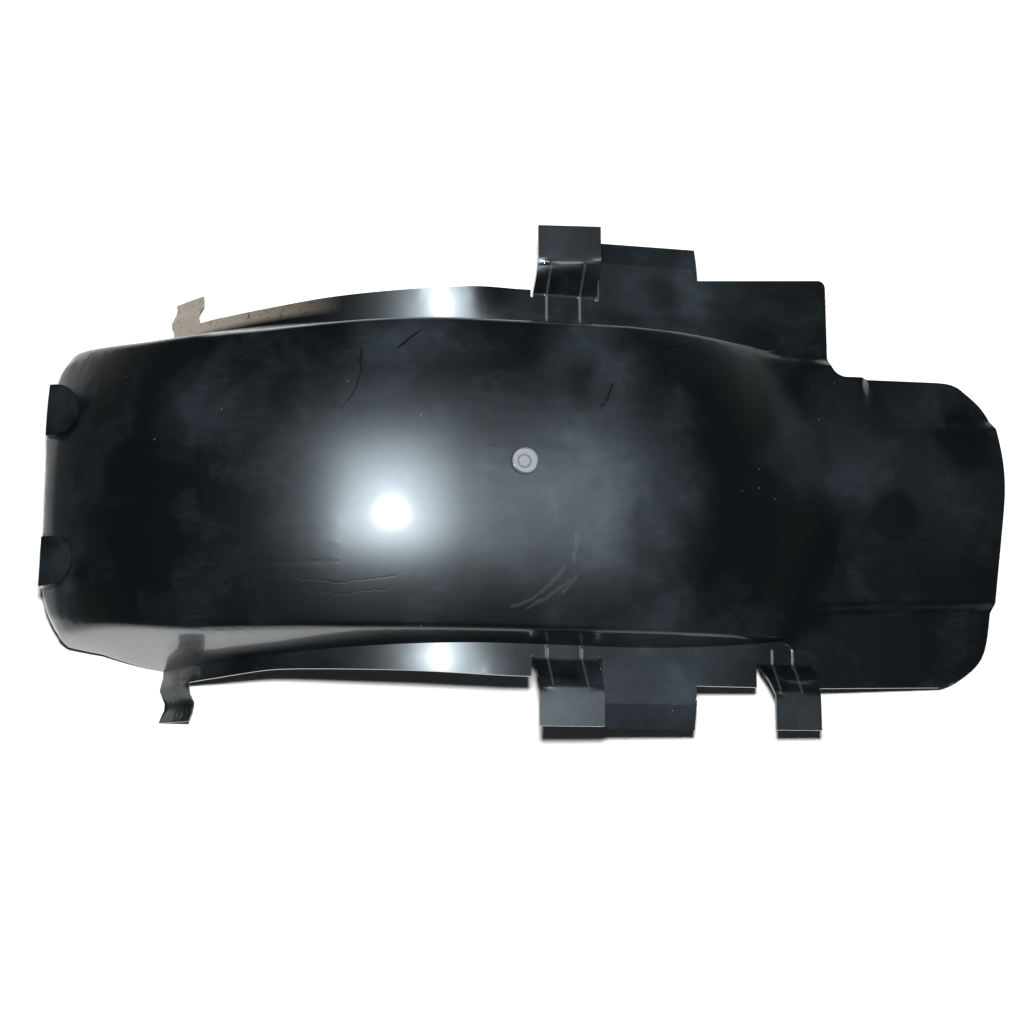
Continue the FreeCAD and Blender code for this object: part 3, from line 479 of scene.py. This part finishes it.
# Rounds of relaxing for all the skin, up to which the end panel goes on, and up to which the clips go on
SKIN_ROUNDS = 8
PANEL_ROUNDS = 20
CLIP_ROUNDS = 56
PANEL_START = 0.06
PANEL_HALF_WIDTH = 0.095
CLIP_BEND = 0.122
STRAIGHT_SHARE = 0.22


def split_long(shell):
    """Halves every edge over a length, again and again, so that the moves in crept() bend the skin smoothly.

    The tail pads and the frame clips are split to finer lengths.
    """
    for _ in range(SPLIT_ROUNDS):
        ends = np.array([(*e.verts[0].co, *e.verts[1].co) for e in shell.edges])
        x, y = ((ends[:, :3] + ends[:, 3:]) / 2).T[:2]
        from_pad = np.abs(np.abs(y + DRAWING_SHIFT[1]) - PAD_MIDDLE)
        pads = (x < PAD_FRONT) & (from_pad < PAD_HALF_WIDTH)
        from_clip = np.min([np.abs(x - middle) for middle in CLIP_MIDDLES], axis=0)
        clips = (from_clip < CLIP_HALF_WIDTH) & (np.abs(y) > CLIP_FOOT)
        allowed = np.where(pads, PAD_EDGE, np.where(clips, CLIP_EDGE, LONGEST_EDGE))
        long = np.linalg.norm(ends[:, :3] - ends[:, 3:], axis=1) > allowed
        if not long.any():
            return
        bmesh.ops.subdivide_edges(shell, edges=[e for e, over in zip(shell.edges, long) if over], cuts=1)
        bmesh.ops.triangulate(shell, faces=[f for f in shell.faces if len(f.verts) > 3])


def along_plate(x, z):
    """Distance along the plate's slope from the nose end.

    It is x from that end times the slope's cosine, less z times its sine.
    """
    return (x - NOSE_END) * math.cos(PLATE_SLOPE) - z * math.sin(PLATE_SLOPE)


def eased(amount):
    """Three t squared less two t cubed, for t held between 0 and 1."""
    held = np.clip(amount, 0.0, 1.0)
    return held * held * (3 - 2 * held)


def neighbour_mean(points, pairs):
    """Mean of the points that each point is paired with: their sum over their count, or 0 with no pair."""
    both = np.concatenate([pairs, pairs[:, ::-1]])
    size = len(points)
    count = np.maximum(np.bincount(both[:, 0], minlength=size), 1)
    sums = [np.bincount(both[:, 0], points[both[:, 1], axis], size) for axis in range(3)]
    return np.stack(sums, axis=1) / count[:, None]


def relaxed(points, ends, crisp):
    """Takes the flats of the loaded triangles out of the skin, in rounds.

    Each round moves a vertex halfway to its neighbours' mean. A vertex on a crisp edge heeds only its two
    neighbours along that edge, and stays where such edges turn or meet. The end panel and the frame clips get
    more rounds, which softens creases and bends.
    """
    crisp_ends = ends[crisp]
    on_edge = np.bincount(crisp_ends.ravel(), minlength=len(points))
    x, y, z = points.T
    along = along_plate(x + DRAWING_SHIFT[0], z)
    clips = np.any([(np.abs(along - middle) < half) & (y * side > CLIP_BEND)
                    for middle, half, side, *_ in CLIPS], axis=0)
    panel = (x > PANEL_START) & (np.abs(y) < PANEL_HALF_WIDTH)
    everywhere = np.ones(len(points), dtype=bool)

    # A crisp edge runs straight on where a vertex lies near the mean of its two neighbours
    lengths = np.linalg.norm(np.diff(points[crisp_ends], axis=1)[:, 0], axis=1)
    longest = np.zeros(len(points))
    np.maximum.at(longest, crisp_ends.ravel(), np.repeat(lengths, 2))
    off_line = np.linalg.norm(neighbour_mean(points, crisp_ends) - points, axis=1)
    straight = off_line < STRAIGHT_SHARE * longest

    for turn in range(CLIP_ROUNDS):
        if turn < SKIN_ROUNDS:
            skin_moves, edges_move = everywhere, everywhere
        elif turn < PANEL_ROUNDS:
            skin_moves, edges_move = panel | clips, clips
        else:
            skin_moves, edges_move = clips, clips
        loose = (on_edge == 0) & skin_moves
        chain = (on_edge == 2) & straight & edges_move
        to_all = neighbour_mean(points, ends) - points
        to_edge = neighbour_mean(points, crisp_ends) - points
        points = points + 0.5 * np.where(loose[:, None], to_all, np.where(chain[:, None], to_edge, 0.0))
    return points


# Creep of the moulding, in metres in the drawing's frame. A pair of sizes is for the left and the right side.
# Tail corners: where the ellipse starts across the part, how far it draws, and its start and length along it
CORNER_INNER = (0.030, 0.064)
CORNER_DRAW = (0.0165, 0.021)
CORNER_START = -0.235
CORNER_LENGTH = 0.062
CORNER_POWER = 1.3
# Shoulders: the cosine's middle, half length and depth, the left side's further pull and where that starts
PULL_MIDDLE = (-0.185, -0.265)
PULL_HALF_LENGTH = (0.150, 0.090)
PULL_DEPTH = (0.0075, 0.0055)
PULL_LEFT = 0.0025
PULL_LEFT_START = -0.18
PULL_LEFT_LENGTH = 0.06
PULL_FULL_ASIDE = 0.088
# Hood: how far over its foot it starts to move, how far under its crown it moves in full, and least height
STILL_OVER_FOOT = 0.004
FULL_UNDER_CROWN = 0.024
LEAST_HEIGHT = 0.004
# Tail end: its start and length, its swell and its shift to the nose, then the drop of its last lip
END_START = -0.2
END_LENGTH = 0.097
END_SWELL = 0.009
END_SHIFT = 0.0022
LIP_START = -0.285
LIP_LENGTH = 0.012
LIP_DROP = 0.0015
# Least value under the root in the slope of the tail's circle
LEAST_SQUARE = 1e-3
# Tail's dish across the part: its rise over the square of the width, and where it starts
DISH = 0.7
DISH_START = -0.15
DISH_LENGTH = 0.1
# Crown: slope of its roll, depth, middle and width of its flattening, and lift of its left shoulder
ROLL_SLOPE = 0.035
FLAT_DEPTH = 0.00194
FLAT_MIDDLE = -0.012
FLAT_WIDTH = 0.042
LIFT = 0.3
LIFT_START = 0.005
# Where these three end along the part and across it, and over what length they ease out there
ROLL_X = (-0.29, 0.16)
ROLL_EASE = 0.1
ROLL_ASIDE = 0.110
ROLL_ASIDE_EASE = 0.014
# Rear flanges: how near the arch they lie, where they tip along the part, and the slope they tip by
FLANGE_NEAR = 0.006
TIP_X = (-0.185, -0.004)
TIP_EASE = (0.07, 0.03)
TIP_SLOPE = (0.236, -0.044)
# Frame clips: how far from its root a clip's twist is full
TWIST_EASE = 0.022
# Foot tabs: height and length of their wave, how it moves them, and how far the right one is laid down
TAB_WAVE = 0.0022
TAB_WAVE_LENGTH = 0.021
TAB_WAVE_BACK = 0.78
TAB_WAVE_UP = 0.63
TAB_LAID_DOWN = 0.33
TAB_LAID_EASE = 0.014


def corner_draw(x, y):
    """How far the tail's corners draw in towards the nose.

    A quarter of an ellipse across the part, from its inner end to the flange's root, times the share of the
    corner's length that is passed, to a power.
    """
    left = y > 0
    inner = np.where(left, *CORNER_INNER)
    turn = np.clip((np.abs(y) - inner) / (FLANGE_ROOT - inner), 0.0, 1.0)
    ellipse = np.where(left, *CORNER_DRAW) * (1 - np.sqrt(1 - turn ** 2))
    return ellipse * np.clip((CORNER_START - x) / CORNER_LENGTH, 0.0, 1.0) ** CORNER_POWER


def shoulder_pull(x, left):
    """How far the hood's shoulders pull in: a squared cosine along the part, and a step at the left tail.

    The cosine is 0 at both ends of its length, and the step is eased.
    """
    from_middle = (x - np.where(left, *PULL_MIDDLE)) / np.where(left, *PULL_HALF_LENGTH)
    pull = np.where(left, *PULL_DEPTH) * np.cos(np.clip(from_middle, -1.0, 1.0) * math.pi / 2) ** 2
    return pull + PULL_LEFT * left * eased((PULL_LEFT_START - x) / PULL_LEFT_LENGTH)


def tail_swell(x, y, draw, end):
    """How far the tail rises: the end's swell less the lip's drop, the draw times the slope, and the dish.

    The lip drops as a square. The slope is that of the tail's circle. The dish is a square across the part.
    """
    slope = (CREST_X - x) / np.sqrt(np.maximum(TAIL_RADIUS ** 2 - (x - CREST_X) ** 2, LEAST_SQUARE))
    lip = np.clip((LIP_START - x) / LIP_LENGTH, 0.0, 1.0) ** 2
    swell = END_SWELL * end - LIP_DROP * lip + draw * slope
    return swell + DISH * y ** 2 * eased((DISH_START - x) / DISH_LENGTH)


def crown_roll(x, y, height):
    """How far the crown is rolled, flattened and lifted on its left.

    The roll is a slope across the part. The flattening is one less a bell curve, and the lift is a square.
    All grow with the hood's height, and ease out at its two ends and at the flanges.
    """
    bell = np.exp(-((y - FLAT_MIDDLE) / FLAT_WIDTH) ** 2)
    flat = FLAT_DEPTH * (1 - bell) + LIFT * np.maximum(y - LIFT_START, 0.0) ** 2
    over_hood = eased((x - ROLL_X[0]) / ROLL_EASE) * eased((ROLL_X[1] - x) / ROLL_EASE)
    over_hood = over_hood * eased((ROLL_ASIDE - np.abs(y)) / ROLL_ASIDE_EASE)
    return (ROLL_SLOPE * y + flat) * height * over_hood


def crept(points):
    """Where the moulding has crept from its tool's shape: moved copies of points, in metres in the row frame.

    The hood moves by its height, from nothing at its foot to all of it near its crown. Its shoulders pull in,
    its crown rolls, and its tail swells up as a square while its corners draw in. The rear flanges tip about
    their roots, up on the left and a little down on the right. The frame clips twist towards level, from root
    to tip. The foot tabs curl by one sine wave, and the right one is laid down by a third.
    """
    x, y, z = (points + DRAWING_SHIFT).T
    aside = np.abs(y)
    left = y > 0

    # The crown lies on a circle behind its crest and on a parabola before it, and the wall's foot on the arch
    circle = TAIL_RADIUS - np.sqrt(np.maximum(TAIL_RADIUS ** 2 - (x - CREST_X) ** 2, 0.0))
    crown = CREST_HEIGHT - np.where(x < CREST_X, circle, (x - CREST_X) ** 2 / FRONT_SPREAD)
    arch = ARCH_Z + np.sqrt(np.maximum(ARCH_RADIUS ** 2 - (x - ARCH_X) ** 2, 0.0))
    foot = np.where(x < WALL_END, (WALL_END - x) * WALL_END_RISE, np.maximum(arch, 0.0))
    hood = np.maximum(crown - FULL_UNDER_CROWN - foot, LEAST_HEIGHT)
    height = np.clip((z - foot - STILL_OVER_FOOT) / hood, 0.0, 1.0)

    draw = corner_draw(x, y)
    end = np.clip((END_START - x) / END_LENGTH, 0.0, 1.0) ** 2
    new_x = x + draw + END_SHIFT * end
    new_y = y - np.sign(y) * shoulder_pull(x, left) * height * np.minimum(aside / PULL_FULL_ASIDE, 1.0)
    rise = tail_swell(x, y, draw, end) * height

    on_flange = (np.abs(z - arch) < FLANGE_NEAR) & (aside > FLANGE_ROOT)
    along = eased((x - TIP_X[0]) / TIP_EASE[0]) * eased((TIP_X[1] - x) / TIP_EASE[1])
    tip = on_flange * along * np.where(left, *TIP_SLOPE) * (aside - FLANGE_ROOT)
    new_z = z + rise + crown_roll(x, y, height) + tip

    run = along_plate(x, z)
    level = 0.0
    for middle, half, side, root, twist in CLIPS:
        on_clip = (np.abs(run - middle) < half) & (y * side > root)
        level = level + on_clip * twist * (run - middle) * eased((y * side - root) / TWIST_EASE)
    new_z = new_z + level

    tab = (x < TAB_FRONT) & (aside > TAB_ROOT)
    wave = np.where(tab, TAB_WAVE * np.sin((aside - TAB_ROOT) * 2 * math.pi / TAB_WAVE_LENGTH), 0.0)
    laid_down = TAB_LAID_DOWN * eased((aside - TAB_ROOT) / TAB_LAID_EASE) * (tab & ~left)
    new_x = new_x - TAB_WAVE_BACK * wave
    new_z = np.maximum((new_z + TAB_WAVE_UP * wave) * (1 - laid_down), 0.0)
    return np.stack([new_x, new_y, new_z], axis=1) - DRAWING_SHIFT


class FENDER_OT_moulding(bpy.types.Operator):
    """Gives the fender its moulded finish"""
    bl_idname = "fender.moulding"
    bl_label = "Moulding"

    def execute(self, context):
        settings = context.scene.fender_moulding
        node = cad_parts["rear_fender"]
        shell = bmesh.new()
        shell.from_mesh(node.data)
        bmesh.ops.remove_doubles(shell, verts=shell.verts, dist=MERGE_DISTANCE)
        split_long(shell)
        for face in shell.faces:
            face.smooth = True
        shell.edges.index_update()
        crisp = np.array([e.is_manifold and e.calc_face_angle(0.0) > CRISP_ANGLE for e in shell.edges])
        mesh = bpy.data.meshes.new("fender_moulding")
        shell.to_mesh(mesh)
        shell.free()

        points = np.empty(3 * len(mesh.vertices))
        mesh.vertices.foreach_get("co", points)
        points = points.reshape(-1, 3)
        ends = np.empty(2 * len(mesh.edges), dtype=int)
        mesh.edges.foreach_get("vertices", ends)
        ends = ends.reshape(-1, 2)
        x, y = points[ends].mean(axis=1).T[:2]
        soft = (x > SOFT_CREASES_X[0]) & (x < SOFT_CREASES_X[1])
        soft &= (y > SOFT_CREASES_Y[0]) & (y < SOFT_CREASES_Y[1])
        crisp &= ~soft
        points = relaxed(points, ends, crisp)
        mesh.vertices.foreach_set("co", crept(points).ravel())
        mesh.update()
        mesh.edges.foreach_set("use_edge_sharp", crisp)
        mesh.materials.append(moulded_polypropylene(settings))
        piece = bpy.data.objects.new("fender_moulding", mesh)
        context.scene.collection.objects.link(piece)
        weighted = piece.modifiers.new("even_shading", "WEIGHTED_NORMAL")
        weighted.keep_sharp = True
        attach(piece, "root")
        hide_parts("rear_fender")
        return {"FINISHED"}


# Stage, in metres: the floor's half width and gap under the part, the centre of view, and the lamp's place
# from the camera
FLOOR_REACH = 4.0
FLOOR_GAP = 0.0002
VIEW_CENTRE = np.array([-0.0119, -0.0102, 0.0])
VIEW_END = 20.0
SENSOR_MM = 36.0
LAMP_OFFSET = np.array([0.0, 0.15, 0.02])
LAMP_TILT = math.radians(6.0)
AIR_COLOUR = "#dfe6ee"
AIR_STRENGTH = 0.03


class FENDER_OT_stage(bpy.types.Operator):
    """Lays the floor and sets the lamp and the camera"""
    bl_idname = "fender.stage"
    bl_label = "Stage"

    def execute(self, context):
        scene = context.scene
        settings = scene.fender_stage
        low = CAD_BOX[0][2] - FLOOR_GAP
        corners = [(x * FLOOR_REACH, y * FLOOR_REACH, low) for x, y in ((-1, -1), (1, -1), (1, 1), (-1, 1))]
        mesh = bpy.data.meshes.new("floor")
        mesh.from_pydata(corners, [], [(0, 1, 2, 3)])
        floor = bpy.data.objects.new("floor", mesh)
        mesh.materials.append(studio_floor(settings))
        scene.collection.objects.link(floor)

        back = np.array([0.0, -math.sin(settings.tilt), math.cos(settings.tilt)])
        place = VIEW_CENTRE + settings.distance * back
        lens = bpy.data.cameras.new("camera")
        lens.lens = settings.focal
        lens.sensor_width = SENSOR_MM
        lens.clip_end = VIEW_END
        camera = bpy.data.objects.new("camera", lens)
        camera.location = place
        camera.rotation_euler = (settings.tilt, 0, 0)
        scene.collection.objects.link(camera)
        scene.camera = camera

        light = bpy.data.lights.new("lamp", "AREA")
        light.shape = "DISK"
        light.size = settings.lamp_width
        light.energy = settings.lamp_power
        lamp = bpy.data.objects.new("lamp", light)
        lamp.location = place + LAMP_OFFSET
        lamp.rotation_euler = (LAMP_TILT, 0, 0)
        scene.collection.objects.link(lamp)

        world = bpy.data.worlds.new("studio_air")
        world.use_nodes = True
        air = world.node_tree.nodes["Background"]
        air.inputs["Color"].default_value = linear(AIR_COLOUR)
        air.inputs["Strength"].default_value = AIR_STRENGTH
        scene.world = world
        scene.view_settings.view_transform = "Standard"
        return {"FINISHED"}


class FENDER_PT_panel(bpy.types.Panel):
    """Lists the fender's pieces and stage"""
    bl_idname = "FENDER_PT_panel"
    bl_label = "Rear Fender"
    bl_space_type = "VIEW_3D"
    bl_region_type = "UI"
    bl_category = "Fender"

    def draw(self, context):
        for group, names, operator in (
            (context.scene.fender_moulding, MouldingSettings.__annotations__, FENDER_OT_moulding),
            (context.scene.fender_stage, StageSettings.__annotations__, FENDER_OT_stage),
        ):
            column = self.layout.column()
            column.operator(operator.bl_idname)
            for name in names:
                column.prop(group, name)


CLASSES = (MouldingSettings, StageSettings, FENDER_OT_moulding, FENDER_OT_stage, FENDER_PT_panel)


def register():
    """Adds the classes, then the scene's two groups of settings."""
    for cls in CLASSES:
        bpy.utils.register_class(cls)
    bpy.types.Scene.fender_moulding = PointerProperty(type=MouldingSettings)
    bpy.types.Scene.fender_stage = PointerProperty(type=StageSettings)


def unregister():
    """Takes away the settings, then the classes in reverse."""
    del bpy.types.Scene.fender_moulding
    del bpy.types.Scene.fender_stage
    for cls in reversed(CLASSES):
        bpy.utils.unregister_class(cls)


def main():
    """Builds the moulding and the stage."""
    register()
    bpy.ops.fender.moulding()
    bpy.ops.fender.stage()


if __name__ == "__main__":
    main()
